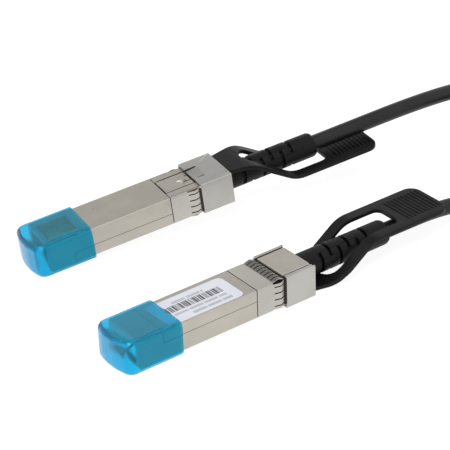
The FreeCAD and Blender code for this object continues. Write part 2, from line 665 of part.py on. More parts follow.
def make_slide():
    """Steel slide on the tab's root: two cams run under the lever's cross bar and lift it."""
    low = "tab_root_top"
    front = "slide_front"
    pieces = [block("slide_plate", (front, f"{front} + slide_length"), middle("slide_half"),
                    (low, f"{low} + slide_thick"))]
    side = "(tail_bar_half - cam_width / 2)"
    for word, y in (("left", side), ("right", f"-{side}")):
        cam = DOC.addObject("PartDesign::Body", f"cam_{word}")
        section = outline(cam, f"cam_{word}_section", "XZ_Plane", (
            (front, low), (f"{front} + {CAM_LENGTH}", low), (front, CAM_TOP)))
        feature(cam, "Pad", f"cam_{word}_pad", section, "cam_width")
        pieces.append(bind(cam, Placement__Base__y=y))
    return fuse("slide", pieces)


def make_spring():
    """Leaf spring between the lever and the roof of its pocket; it keeps the boss out."""
    body = DOC.addObject("PartDesign::Body", "spring_block")
    low, high = "lever_inset + lever_thick + fit_gap / 2", "lever_pocket"
    front, rear = "-pivot_x + spring_inset", "-pivot_x + spring_inset + spring_length"
    section = outline(body, "spring_section", "XZ_Plane", (
        (front, f"{high} - spring_thick"),
        (f"{front} + spring_inset", f"{high} - spring_thick"),
        (f"{rear} - spring_inset", low),
        (rear, low),
        (rear, f"{low} + spring_thick"),
        (f"{rear} - spring_inset", f"{low} + spring_thick"),
        (f"{front} + spring_inset", high),
        (front, high),
    ))
    feature(body, "Pad", "spring_pad", section, "spring_width")
    return body


# ---------------------------------------------------------------- pull tab
def make_tab():
    """Moulded strap: flat root, S-shaped rise past the boot and a grooved grip."""
    body = DOC.addObject("PartDesign::Body", "tab_block")
    low, high = "tab_root_top - tab_thick", "tab_root_top"
    rise = "(tab_top - tab_root_top)"
    slope = f"sqrt(tab_rise_run ^ 2 + {rise} ^ 2)"
    back = f"tab_thick * ({slope} - tab_rise_run) / {rise}"
    top_start = "tab_rise_start + tab_rise_run"
    side = outline(body, "tab_side", "XZ_Plane", (
        ("tab_front", low),
        ("tab_rise_start", low),
        (top_start, "tab_top - tab_thick"),
        ("tab_end", "tab_top - tab_thick"),
        ("tab_end", "tab_top"),
        (f"{top_start} - {back}", "tab_top"),
        (f"tab_rise_start - {back}", high),
        ("tab_front", high),
    ))
    feature(body, "Pad", "tab_pad", side, "2 * tab_half")
    first, last = size("tab_rise_start"), size(top_start)
    shift = size(back)
    inner = ((first - shift, size(high)), (last, size("tab_top - tab_thick")))
    outer = ((first, size(low)), (last - shift, size("tab_top")))
    for word, radius, places in (("inner", "tab_bend", inner), ("outer", "tab_bend + tab_thick", outer)):
        soften(body, f"tab_bends_{word}", radius,
               lambda edge, spots=places: any(lies_at(edge, x=x, z=z) for x, z in spots))
    for word, sign in (("left", ""), ("right", "-")):
        flare = outline(body, f"tab_flare_{word}", "XY_Plane", (
            ("-tab_end", f"{sign}tab_root_half"),
            ("tab_flare_start", f"{sign}tab_root_half"),
            ("tab_flare_end", f"{sign}tab_half"),
            ("tab_flare_end", f"{sign}(2 * tab_half)"),
            ("-tab_end", f"{sign}(2 * tab_half)"),
        ))
        feature(body, "Pocket", f"tab_flare_cut_{word}", flare, "4 * tab_top")
    end = size("tab_end")
    soften(body, "tab_grip_corners", "tab_corner",
           lambda edge: runs_along(edge, ALONG_Z) and lies_at(edge, x=end))
    window = DOC.addObject("PartDesign::Body", "tab_window")
    plan = outline(window, "tab_window_plan", "XY_Plane", (
        ("window_front", "-window_half"), ("window_rear", "-window_half"),
        ("window_rear", "window_half"), ("window_front", "window_half")))
    feature(window, "Pad", "tab_window_pad", plan, "4 * tab_top")
    for word in ("front", "rear"):
        place = size(f"window_{word}")
        soften(window, f"tab_window_{word}", f"window_{word}_round",
               lambda edge, x=place: runs_along(edge, ALONG_Z) and lies_at(edge, x=x))
    tools = [window, block("tab_root_relief", ("0", "sleeve_length + fit_gap"), middle("tab_half"),
                           ("-tab_thick", "tab_root_low"))]
    for index in range(int(size("groove_count"))):
        x = f"groove_start + {index} * groove_pitch"
        for word, z in (("top", ("tab_top - groove_depth", "2 * tab_top")),
                        ("low", ("0", "tab_top - tab_thick + groove_depth"))):
            tools.append(block(f"groove_{word}_{index}", (x, f"{x} + groove_width"),
                               middle("groove_half"), z))
    return cut("tab", body, tools)


# ---------------------------------------------------------------- boot and ferrule
def make_boot():
    """Tapered boot with crossed pairs of slots, and a flange held in the cast body."""
    body = DOC.addObject("PartDesign::Body", "boot_block")
    bind(body, Placement__Base__z="axis_height")
    bore = "cable_diameter / 2 + boot_bore_gap"
    seat = "ferrule_radius + boot_bore_gap"
    depth = "ferrule_front + ferrule_length + boot_bore_gap"
    section = outline(body, "boot_section", "XZ_Plane", (
        ("shell_rear", seat), (depth, seat), (depth, bore), ("boot_end", bore),
        ("boot_end", "boot_tip_radius - boot_edge"),
        (f"boot_end - {BOOT_SAG}", f"boot_tip_radius - {BOOT_SAG}"),
        ("boot_end - boot_edge", "boot_tip_radius"), ("shell_rear", "boot_radius")))
    turned = body.newObject("PartDesign::Revolution", "boot_turned")
    turned.Profile = section
    turned.ReferenceAxis = (section, ["H_Axis"])
    turned.Angle = 360
    DOC.recompute()
    notches = []
    for index in range(int(size("boot_slot_count"))):
        x = f"boot_slot_first + {index} * boot_slot_step - boot_slot_width / 2"
        for word, deep in (("far", ("boot_slot_start", "2 * boot_radius")),
                           ("near", ("-2 * boot_radius", "-boot_slot_start"))):
            y, z = deep, middle("boot_slot_half")
            if index % 2:
                y, z = z, deep
            notches.append(block(f"notch_{word}_{index}", (x, f"{x} + boot_slot_width"), y,
                                 (f"axis_height + {z[0]}", f"axis_height + {z[1]}")))
    core = rod("boot_core", "boot_slot_core", ("shell_rear", "boot_end"))
    hull = cut("boot_hull", body, [cut("boot_slots", fuse("notches", notches), [core])])
    inner = ("shell_rear - rear_wall - flange_thick", "shell_rear - rear_wall")
    plug = fuse("boot_plug", [
        block("boot_flange", inner, middle("flange_half"), ("flange_low", "flange_top")),
        rod("boot_neck", "boot_neck_radius", (inner[1], "shell_rear")),
    ])
    way = rod("boot_wire_way", "cable_diameter / 2", (f"{inner[0]} - shell_wall", "shell_rear"))
    return fuse("boot", [hull, cut("boot_plug_bored", plug, [way])])


def make_ferrule():
    x = ("ferrule_front", "ferrule_front + ferrule_length")
    return cut("ferrule", rod("ferrule_outer", "ferrule_radius", x),
               [rod("ferrule_bore", "cable_diameter / 2 + boot_bore_gap",
                    (f"{x[0]} - shell_wall", f"{x[1]} + shell_wall"))])


# ---------------------------------------------------------------- label and dust cap
def make_label():
    body = DOC.addObject("PartDesign::Body", "label_block")
    plan = outline(body, "label_plan", "XY_Plane", (
        ("-label_front", "label_near - body_width / 2"),
        ("-label_rear", "label_near - body_width / 2"),
        ("-label_rear", "body_width / 2 - label_far"),
        ("-label_front", "body_width / 2 - label_far"),
    ))
    pad = body.newObject("PartDesign::Pad", "label_pad")
    pad.Profile = plan
    bind(pad, Length="label_thick")
    DOC.recompute()
    soften(body, "label_corners", "label_corner", lambda edge: runs_along(edge, ALONG_Z))
    return bind(body, Placement__Base__z="body_height")


def make_cap():
    """Soft push-on cap with rounded edges and a closed end."""
    outer = cap_block("cap_outer", CAP_REACH, CAP_MOUTH, CAP_OUT, "cap_nose_round")
    mouth = -size(CAP_MOUTH)
    soften(outer, "cap_edges", "cap_edge",
           lambda edge: runs_along(edge, ALONG_X) and abs(edge.CenterOfMass.x - mouth) > 1e-4)
    room = cap_block("cap_room", f"({CAP_REACH} - cap_nose_wall)", f"({CAP_MOUTH} - cap_wall)", "cap_fit",
                     "cap_nose_round - cap_wall")
    return cut("cap", outer, [room])


def cap_block(name, reach, back, margin, nose_round):
    """A block round the cast body, with a margin on all sides and a bulged end with rounded corners."""
    body = DOC.addObject("PartDesign::Body", name)
    half = f"(body_width / 2 + {margin})"
    shoulder = f"({reach} - cap_bulge)"
    plan = outline(body, f"{name}_plan", "XY_Plane", (
        (f"-{back}", f"-{half}"),
        (f"-{back}", half),
        (f"-{shoulder}", half),
        (f"-{reach}", "cap_crown_half"),
        (f"-{reach}", "-cap_crown_half"),
        (f"-{shoulder}", f"-{half}"),
    ))
    feature(body, "Pad", f"{name}_pad", plan, f"body_height + 2 * {margin}")
    for word, radius, place in (("corners", nose_round, shoulder), ("crown", "cap_crown_round", reach)):
        spot = -size(place)
        soften(body, f"{name}_{word}", radius,
               lambda edge, x=spot: runs_along(edge, ALONG_Z) and lies_at(edge, x=x))
    return bind(body, Placement__Base__z="body_height / 2")


# ---------------------------------------------------------------- placing and routes
def end_placement(end):
    """Where a connector lies: a on its label side and tail up, b on its latch side."""
    clear = size(CAP_OUT)
    if end == "b":
        turn = FreeCAD.Rotation(ALONG_Z, size("plug_b_yaw"))
        return FreeCAD.Placement(VEC(size("plug_b_x"), size("plug_b_y"), clear), turn)
    pitch = size("plug_a_pitch")
    lean = math.radians(pitch)
    turn = FreeCAD.Rotation(ALONG_Y, -pitch) * FreeCAD.Rotation(ALONG_X, 180)
    under = size("body_height") + clear
    edge = size("cap_edge")
    lift = (under - edge) * math.cos(lean) + edge + (size(CAP_REACH) - edge) * math.sin(lean)
    return FreeCAD.Placement(VEC(size("plug_a_x"), size("plug_a_y"), lift), turn)


def rounded_tube(points, radius, name):
    """Straight runs joined by tangent arcs that are as large as the runs allow, as one tube."""
    edges = []
    start = points[0]
    radii = []
    for before, corner, after in zip(points, points[1:], points[2:]):
        inward, outward = before - corner, after - corner
        run = min(inward.Length, outward.Length)
        turn = math.pi - inward.getAngle(outward)
        reach = 0.45 * run
        radii.append(reach / math.tan(turn / 2))
        first = corner + inward.normalize() * reach
        last = corner + outward.normalize() * reach
        inside = (first + last) * 0.5 - corner
        sagitta = radii[-1] / math.cos(turn / 2) - radii[-1]
        middle_point = corner + inside.normalize() * sagitta
        edges.append(Part.LineSegment(start, first).toShape())
        edges.append(Part.Arc(first, middle_point, last).toShape())
        start = last
    edges.append(Part.LineSegment(start, points[-1]).toShape())
    path = Part.Wire(edges)
    heading = (points[1] - points[0]).normalize()
    ring = Part.Wire([Part.makeCircle(radius, points[0], heading)])
    tube = path.makePipeShell([ring], True, False)
    expected = math.pi * radius ** 2 * path.Length
    print(f"{name}: length {path.Length:.1f}, radii {[round(value) for value in radii]}, "
          f"volume off by {abs(tube.Volume / expected - 1) * 100:.2f} %")
    return tube


def make_cores():
    """Four insulated cores, straight from the jacket's end down to the pads behind the chip."""
    cores = []
    fall = "(axis_height - card_height - card_thick - core_radius)"
    run = "(jacket_end - fit_gap + card_rear)"
    for row in range(int(size("core_count"))):
        across = f"core_pitch * ({row} - (core_count - 1) / 2)"
        core = rod(f"core_{row}", "core_radius", (f"-{run}", "0"), y=across)
        core.Placement.Rotation = FreeCAD.Rotation(ALONG_Y, 90 - size(f"atan({fall} / {run})"))
        bind(core, Height=f"sqrt({fall} ^ 2 + {run} ^ 2)", Placement__Base__x="-card_rear",
             Placement__Base__z="card_height + card_thick + core_radius")
        cores.append(core)
    return group("cores", cores)


def cable_leg(name, end, chosen):
    """The jacket from inside the boot to the coil; the last points are chosen by hand."""
    place = end_placement(end)
    along = [place.multVec(VEC(size(x), 0, size("axis_height"))) for x in ("jacket_end", "boot_end")]
    leg = DOC.addObject("Part::Feature", name)
    leg.Shape = rounded_tube(along + [VEC(*point) for point in chosen], size("cable_diameter / 2"), name)
    return leg


def make_coil():
    """Outer shape of the stored turns."""
    body = DOC.addObject("PartDesign::Body", "cable_coil")
    half = "(coil_columns * cable_diameter + coil_slack) / 2"
    inner, outer, top = f"coil_radius - {half}", f"coil_radius + {half}", "coil_rows * cable_diameter"
    section = outline(body, "coil_section", "XZ_Plane", (
        (inner, "0"), (outer, "0"), (outer, top), (inner, top)))
    turned = body.newObject("PartDesign::Revolution", "coil_turned")
    turned.Profile = section
    turned.ReferenceAxis = (section, ["V_Axis"])
    turned.Angle = 360
    DOC.recompute()
    return bind(body, Placement__Base__x="coil_x", Placement__Base__y="coil_y")


def make_tie():
    """A strap wrapped round the bundle on the side away from the connectors."""
    half = "(coil_columns * cable_diameter + coil_slack) / 2 + tie_play"
    top = "coil_rows * cable_diameter + tie_play"
    hull = tie_ring("tie_hull", f"{half} + tie_thick", ("0", f"{top} + tie_thick"))
    return cut("cable_tie", hull, [tie_ring("tie_room", half, ("tie_sunk", top))])


def tie_ring(name, half, heights):
    """A stretch of ring over the bundle, as wide as the tie."""
    body = DOC.addObject("PartDesign::Body", name)
    section = outline(body, f"{name}_section", "XZ_Plane", (
        (f"coil_radius - ({half})", heights[0]), (f"coil_radius + {half}", heights[0]),
        (f"coil_radius + {half}", heights[1]), (f"coil_radius - ({half})", heights[1])))
    turned = body.newObject("PartDesign::Revolution", f"{name}_turned")
    turned.Profile = section
    turned.ReferenceAxis = (section, ["V_Axis"])
    turned.Midplane = True
    bind(turned, Angle="tie_width / coil_radius * 180 / pi")
    DOC.recompute()
    return bind(body, Placement__Base__x="coil_x", Placement__Base__y="coil_y")


# ---------------------------------------------------------------- the whole cable
def build():
    """Every node of the cable by its name."""
    pieces = {
        "shell_base": make_base(),
        "shell_cover": make_cover(),
        "paddle_card": make_card(),
        "card_contacts": make_contacts(),
        "memory_chip": make_chip(),
        "wire_pairs": make_cores(),
        "spring_collar": make_collar(),
        "rear_sleeve": make_sleeve(),
        "latch_lever": make_lever(),
        "latch_slide": make_slide(),
        "latch_spring": make_spring(),
        "pull_tab": make_tab(),
        "cable_boot": make_boot(),
        "crimp_ferrule": make_ferrule(),
        "dust_cap": make_cap(),
        "label": make_label(),
    }
    nodes = {}
    for end in ("a", "b"):
        for word, piece in pieces.items():
            if word == "label" and end == "a":
                continue
            link = DOC.addObject("App::Link", f"{word}_{end}")
            link.LinkedObject = piece
            link.LinkTransform = False
            nodes[f"{word}_{end}"] = link
    DOC.recompute()
    for name, link in nodes.items():
        link.Placement = end_placement(name[-1]).multiply(link.LinkedObject.Placement)
    top_row = size("(coil_rows - 0.5) * cable_diameter")
    nodes["cable_leg_a"] = cable_leg("cable_leg_a", "a", (
        (78.0, 27.6, 18.5), (100.0, 27.6, 15.2), (size("coil_x"), size("coil_y + coil_radius"), top_row)))
    low_row = size("cable_diameter / 2")
    nodes["cable_leg_b"] = cable_leg("cable_leg_b", "b", (
        (62.0, -10.6, 4.6), (95.0, -19.0, 2.5),
        (size("coil_x"), size("coil_y - coil_radius - cable_diameter / 2"), low_row)))
    nodes["cable_coil"] = make_coil()
    nodes["cable_tie"] = make_tie()
    DOC.recompute()
    return nodes


def write(nodes):
    """Check every object, then write one STEP file for each node."""
    for item in DOC.Objects:
        if "Invalid" in item.State or "Error" in item.State:
            raise RuntimeError(f"{item.Name} failed: {item.State}")
    shapes = {}
    for name, item in nodes.items():
        item.Label = name
        shape = Part.getShape(item)
        if shape.isNull() or not shape.isValid() or not shape.Solids:
            raise RuntimeError(f"{name} has no valid solid")
        shapes[name] = shape
    os.makedirs("parts", exist_ok=True)
    for name, shape in shapes.items():
        shape.exportStep(f"parts/{name}.step")
        print(f"{name}: {len(shape.Solids)} solid(s), {shape.Volume:.1f} mm3")
    whole = FreeCAD.BoundBox()
    for name, shape in shapes.items():
        if not name.startswith("cable_leg") and name not in ("cable_coil", "cable_tie"):
            whole.add(shape.BoundBox)
    print(f"connectors: x {whole.XMin:.2f} {whole.XMax:.2f}, y {whole.YMin:.2f} {whole.YMax:.2f}, "
          f"z {whole.ZMin:.2f} {whole.ZMax:.2f}")


write(build())
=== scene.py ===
# %% [markdown]
# # A direct attach copper cable
#
# The real thing is a one metre copper network cable with a small metal connector at each end.
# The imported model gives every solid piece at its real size, and it must not move or change.
# This lesson gives those pieces their finishes, and makes the cable itself, the label's print
# and the light that they are seen in.
#
# Everything is in metres. A millimetre is named, because all the sizes here are a few of them.

import json
import math

import bmesh
import bpy
from mathutils import Matrix, Vector


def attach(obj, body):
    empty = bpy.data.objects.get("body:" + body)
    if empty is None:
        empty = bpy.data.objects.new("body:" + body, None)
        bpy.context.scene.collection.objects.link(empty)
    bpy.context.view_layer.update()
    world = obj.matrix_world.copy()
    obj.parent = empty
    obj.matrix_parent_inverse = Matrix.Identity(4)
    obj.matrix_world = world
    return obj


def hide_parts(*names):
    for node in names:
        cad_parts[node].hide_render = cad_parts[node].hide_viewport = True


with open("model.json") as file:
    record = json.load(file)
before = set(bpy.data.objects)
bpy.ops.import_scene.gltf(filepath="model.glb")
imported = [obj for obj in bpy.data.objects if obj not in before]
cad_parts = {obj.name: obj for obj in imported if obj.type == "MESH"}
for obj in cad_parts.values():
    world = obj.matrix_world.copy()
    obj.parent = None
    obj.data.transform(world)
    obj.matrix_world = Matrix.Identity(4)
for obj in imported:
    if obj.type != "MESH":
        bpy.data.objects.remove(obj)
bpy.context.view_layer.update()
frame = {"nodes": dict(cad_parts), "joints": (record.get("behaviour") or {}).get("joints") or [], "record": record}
MM = 0.001

# %% [markdown]
# ## A frame for each connector
#
# The two connectors are the same product lying in different ways, so it pays to describe a detail
# once, in the connector's own frame, and place it twice. That frame can be read from the joints:
# the pull tab slides along the connector's x axis, and the latch lever turns about its y axis.

# %% Connector frames from the joints
# The lever's pivot in that frame, from the sleeve's front face and from the latch side.
PIVOT_X = -8.6 * MM
PIVOT_Z = 0.75 * MM


def connector_frame(end):
    """Matrix from connector a's or b's own frame to the frame of the whole model."""
    joints = {joint["name"]: joint for joint in frame["joints"]}
    pivot = joints[f"latch_lever_pivot_{end}"]
    along = Vector(joints[f"pull_tab_slide_{end}"]["axis"]).normalized()
    across = -Vector(pivot["axis"]).normalized()
    up = along.cross(across)
    origin = Vector(pivot["pos_m"]) - along * PIVOT_X - up * PIVOT_Z
    turn = Matrix((along, across, up)).transposed().to_4x4()
    return Matrix.Translation(origin) @ turn


CONNECTOR = {end: connector_frame(end) for end in "ab"}
for end, place in CONNECTOR.items():
    print(f"connector {end} stands at", [round(v / MM, 2) for v in place.translation])

# %% [markdown]
# ## The camera
#
# A studio camera stands well back with a long lens, so that the small connectors keep their
# parallel edges. It is put on a line through the upper connector's stop, then turned a little to
# frame both. Turning it is better than a lens shift, because a shift would stay when the camera
# is moved to look from the side.

# %% Put up the camera
AZIMUTH = math.radians(-25.9)
ELEVATION = math.radians(29.95)
ROLL = math.radians(-2.7)
DISTANCE = 0.6
LENS = 168.4
SENSOR = 36
CLIP = (0.01, 10)
AIM_HEIGHT = 0.9 * MM
AIM_POINT = Vector((*CONNECTOR["a"].translation.xy, AIM_HEIGHT))
# Where the camera looks after the framing turn, along its right, its up and its back.
FRAMING = Vector((0.01596, -0.00296, -1.0))


def camera_axes():
    """Right, up and back of a camera that looks at the aim point, before the framing turn."""
    back = Vector((math.sin(AZIMUTH) * math.cos(ELEVATION),
                   -math.cos(AZIMUTH) * math.cos(ELEVATION), math.sin(ELEVATION)))
    level = Vector((math.cos(AZIMUTH), math.sin(AZIMUTH), 0))
    top = back.cross(level)
    right = level * math.cos(ROLL) + top * math.sin(ROLL)
    return right, back.cross(right), back


def make_camera():
    """The product camera, turned to frame both connectors."""
    right, up, back = camera_axes()
    position = AIM_POINT + back * DISTANCE
    new_back = -(right * FRAMING.x + up * FRAMING.y + back * FRAMING.z).normalized()
    new_right = up.cross(new_back).normalized()
    data = bpy.data.cameras.new("product_camera")
    data.lens = LENS
    data.sensor_width = SENSOR
    data.clip_start, data.clip_end = CLIP
    camera = bpy.data.objects.new("product_camera", data)
    axes = Matrix((new_right, new_back.cross(new_right), new_back)).transposed().to_4x4()
    camera.matrix_world = Matrix.Translation(position) @ axes
    bpy.context.scene.collection.objects.link(camera)
    bpy.context.scene.camera = camera
    return camera


print("camera at", [round(v, 3) for v in make_camera().matrix_world.translation])

# %% [markdown]
# ## The cable
#
# The cable is stiff for its size: two shielded pairs under a 4.6 mm jacket. It leaves each boot
# straight. The upper connector's stretch bows up a little and lands on top of the coil, and the
# lower one's lies along the table. The spare length is a neat coil that a strap holds. One smooth
# NURBS spline carries the whole of it, because it is one piece. The points of the free stretches
# are listed, and the turns of the coil are worked out: each turn keeps its own track in the
# bundle, and steps to the next track over an eighth of a turn, where that track is still empty.

# %% The route of the cable
JACKET = 4.6 * MM
AXIS_Z = 4.8 * MM
JACKET_END = 10.5 * MM
BOOT_END = 39.6 * MM
# Points of the free stretches in millimetres, in the order that the cable takes them.
FREE_A = ((80.0, 28.3, 18.3), (101.0, 31.2, 15.0))
FREE_B = ((96.0, -16.0, 2.5), (63.0, -8.0, 4.4))
COIL_MIDDLE = Vector((121.7, 4.6, 0)) * MM
COIL_RADIUS = 23.0 * MM
POINTS_PER_TURN = 16
# Degrees that the cable takes to step over to the next track.
CROSSING = 45
# Tracks in the order that the cable takes them: the degree at which it leaves the track, the
# track's column (1 outer, -1 inner, 0 on top between them) and its row above the table.
TRACKS = ((300, 0, 2), (615, 1, 1), (930, -1, 1), (1247, -1, 0), (1620, 1, 0))


def blend_between(low, high, share):
    """From low to high with a smooth start and end."""
    share = share * share * (3 - 2 * share)
    return low + (high - low) * share


def track_place(column, row):
    """Radius and height of a track's middle line."""
    return COIL_RADIUS + column * JACKET / 2, (row + 0.5) * JACKET


def coil_place(turned):
    """Radius and height of the cable's middle line after so many degrees of the coil."""
    for (left_at, *here), (_, *following) in zip(TRACKS, TRACKS[1:]):
        if turned <= left_at:
            return track_place(*here)
        if turned < left_at + CROSSING:
            share = (turned - left_at) / CROSSING
            return [blend_between(low, high, share)
                    for low, high in zip(track_place(*here), track_place(*following))]
    return track_place(*TRACKS[-1][1:])


def coil_points():
    """The coil, clockwise from above, from its top row to its bottom row.

    The points lie a little outside the circle, because the spline only touches their net.
    """
    step = 360 / POINTS_PER_TURN
    outset = 1 / math.cos(math.pi / POINTS_PER_TURN)
    points = []
    for index in range(int(TRACKS[-1][0] / step) + 1):
        radius, height = coil_place(index * step)
        angle = math.radians(90 - index * step)
        arm = Vector((math.cos(angle), math.sin(angle), 0)) * radius * outset
        points.append(COIL_MIDDLE + arm + Vector((0, 0, height)))
    return points


def boot_points(end):
    """The straight stretch of the cable inside a boot."""
    return [CONNECTOR[end] @ Vector((x, 0, AXIS_Z)) for x in (JACKET_END, BOOT_END)]


route = boot_points("a")
route += [Vector(point) * MM for point in FREE_A]
route += coil_points()
route += [Vector(point) * MM for point in FREE_B]
route += reversed(boot_points("b"))
print("cable route has", len(route), "points")


# %% Draw the cable as one NURBS spline
def make_cable(points):
    """The jacket. Its radius sits on the points and scales a bevel of one.

    A radius of one on the points would make Blender report a box of two metres for the curve.
    """
    data = bpy.data.curves.new("cable", "CURVE")
    data.dimensions = "3D"
    data.bevel_depth = 1.0
    data.bevel_resolution = 7
    data.resolution_u = 8
    data.use_fill_caps = True
    spline = data.splines.new("NURBS")
    spline.points.add(len(points) - 1)
    for knot, point in zip(spline.points, points):
        knot.co = (*point, 1)
        knot.radius = JACKET / 2
    spline.order_u = 3
    spline.use_endpoint_u = True
    cable = bpy.data.objects.new("cable", data)
    bpy.context.scene.collection.objects.link(cable)
    return cable


def line_length(curve):
    """Length of a curve's own line, measured on a copy with no thickness."""
    copy = curve.copy()
    copy.data = curve.data.copy()
    copy.data.bevel_depth = 0
    mesh = bpy.data.meshes.new_from_object(copy)
    pairs = [[mesh.vertices[index].co for index in edge.vertices] for edge in mesh.edges]
    total = sum((first - second).length for first, second in pairs)
    bpy.data.meshes.remove(mesh)
    bpy.data.objects.remove(copy)
    return total


cable = make_cable(route)
CABLE_LENGTH = line_length(cable)
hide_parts("cable_leg_a", "cable_leg_b", "cable_coil")
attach(cable, "cable")
print("cable length in mm:", round(CABLE_LENGTH / MM, 1))

# %% [markdown]
# ## The floor and the light
#
# The cable lies on a white sweep that is lit so brightly that hardly a shadow is left. The same
# could be had with many lamps, but a sweep that glows a little gives it with two, and the metal
# sides that look down at it come out pale and even. The room is equally bright all round, but for
# a dark patch high up behind the cable. The satin tops mirror that patch, so they come out a step
# darker than the sides.

# %% Floor
FLOOR_SIZE = 4.0
FLOOR_GREY = 0.2
FLOOR_GLOW = 0.88


def make_floor():
    """A wide matt plane that glows a little."""
    mesh = bpy.data.meshes.new("table_top")
    shape = bmesh.new()
    bmesh.ops.create_grid(shape, x_segments=1, y_segments=1, size=FLOOR_SIZE)
    shape.to_mesh(mesh)
    shape.free()
    floor = bpy.data.objects.new("table_top", mesh)
    bpy.context.scene.collection.objects.link(floor)
    paint = bpy.data.materials.new("white_sweep")
    paint.use_nodes = True
    shader = paint.node_tree.nodes["Principled BSDF"]
    shader.inputs["Base Color"].default_value = (FLOOR_GREY, FLOOR_GREY, FLOOR_GREY, 1)
    shader.inputs["Roughness"].default_value = 0.9
    shader.inputs["Specular IOR Level"].default_value = 0.0
    shader.inputs["Emission Color"].default_value = (1, 1, 1, 1)
    shader.inputs["Emission Strength"].default_value = FLOOR_GLOW
    mesh.materials.append(paint)
    return floor


make_floor()
print("floor is", 2 * FLOOR_SIZE, "m wide")


# %% Lights
LIGHT_DISTANCE = 0.9


def make_area_light(name, azimuth, elevation, size, power):
    """A square soft light that points at the middle of the connectors."""
    data = bpy.data.lights.new(name, "AREA")
    data.size = size
    data.energy = power
    light = bpy.data.objects.new(name, data)
    a, e = math.radians(azimuth), math.radians(elevation)
    away = Vector((math.sin(a) * math.cos(e), -math.cos(a) * math.cos(e), math.sin(e)))
    turn = away.to_track_quat("Z", "Y").to_matrix().to_4x4()
    light.matrix_world = Matrix.Translation(away * LIGHT_DISTANCE) @ turn
    bpy.context.scene.collection.objects.link(light)
    return light


LIGHTS = (make_area_light("overhead_softbox", azimuth=-60, elevation=62, size=0.5, power=3.0),
          make_area_light("small_key", azimuth=-40, elevation=48, size=0.05, power=1.6))
print("lights:", ", ".join(light.name for light in LIGHTS))


# %% Room
ROOM_LIGHT = 1.05
PATCH_LIGHT = 0.20
PATCH_TOWARD = Vector((0.1, 0.55, 0.83)).normalized()
# Cosine of the angle from the middle of the patch, where it starts and where it is darkest.
PATCH_START = 0.90
PATCH_FULL = 0.98


def make_room():
    """Even pale light from all round, with a dark patch high up behind the cable."""
    world = bpy.data.worlds.new("studio")
    world.use_nodes = True
    nodes, links = world.node_tree.nodes, world.node_tree.links
    place = nodes.new("ShaderNodeTexCoord")
    toward = nodes.new("ShaderNodeVectorMath")
    toward.operation = "DOT_PRODUCT"
    toward.inputs[1].default_value = PATCH_TOWARD
    ramp = nodes.new("ShaderNodeValToRGB")
    steps = ((PATCH_START, ROOM_LIGHT), (PATCH_FULL, PATCH_LIGHT))
    for element, (position, light) in zip(ramp.color_ramp.elements, steps):
        element.position = position
        element.color = (light, light, light, 1)
    links.new(place.outputs["Generated"], toward.inputs[0])
    links.new(toward.outputs["Value"], ramp.inputs[0])
    links.new(ramp.outputs[0], nodes["Background"].inputs["Color"])
    nodes["Background"].inputs["Strength"].default_value = 1.0
    bpy.context.scene.world = world
    return world


bpy.context.scene.view_settings.view_transform = "Standard"
print("room:", make_room().name)

# %% [markdown]
# ## Shared surface effects
#
# Three effects come back in many of the finishes, so each is a node group that is built once.
# Fine grain is the faint mottle of a cast, plated or moulded surface: it shifts the roughness and
# gives a height for the bump. Specks are the few small marks that handling leaves. Shaded places
# are the seams, grooves and slots that hardly any light gets into. All three could be painted as
# images, but worked out from the position they fit any piece and need no unwrapping.

# %% Helpers for node groups
def new_group(name, inputs, outputs):
    """An empty shader node group. An input with no value is a vector, and one with three is a colour."""
    group = bpy.data.node_groups.new(name, "ShaderNodeTree")
    kinds = {type(None): "NodeSocketVector", float: "NodeSocketFloat", tuple: "NodeSocketColor"}
    for label, value in inputs:
        socket = group.interface.new_socket(label, in_out="INPUT", socket_type=kinds[type(value)])
        if isinstance(value, float):
            socket.default_value = value
    for label, kind in outputs:
        group.interface.new_socket(label, in_out="OUTPUT", socket_type=kind)
    return group, group.nodes.new("NodeGroupInput"), group.nodes.new("NodeGroupOutput")


def add_math(group, operation, *values):
    """A Math node fed by sockets or plain numbers. Returns its output."""
    node = group.nodes.new("ShaderNodeMath")
    node.operation = operation
    for socket, value in zip(node.inputs, values):
        if isinstance(value, float):
            socket.default_value = value
        else:
            group.links.new(value, socket)
    return node.outputs[0]


# %% Fine grain
def make_grain_group():
    """Grain: noise as a roughness value and as a height."""
    group, start, end = new_group(
        "fine_grain", (("Position", None), ("Scale", 3000.0), ("Middle", 0.4), ("Spread", 0.1)),
        (("Roughness", "NodeSocketFloat"), ("Height", "NodeSocketFloat")))
    noise = group.nodes.new("ShaderNodeTexNoise")
    noise.inputs["Detail"].default_value = 3
    group.links.new(start.outputs["Position"], noise.inputs["Vector"])
    group.links.new(start.outputs["Scale"], noise.inputs["Scale"])
    centred = add_math(group, "SUBTRACT", noise.outputs["Fac"], 0.5)
    rough = add_math(group, "MULTIPLY_ADD", centred, start.outputs["Spread"], start.outputs["Middle"])
    group.links.new(rough, end.inputs["Roughness"])
    group.links.new(noise.outputs["Fac"], end.inputs["Height"])
    return group


GRAIN = make_grain_group()
print("node group:", GRAIN.name)


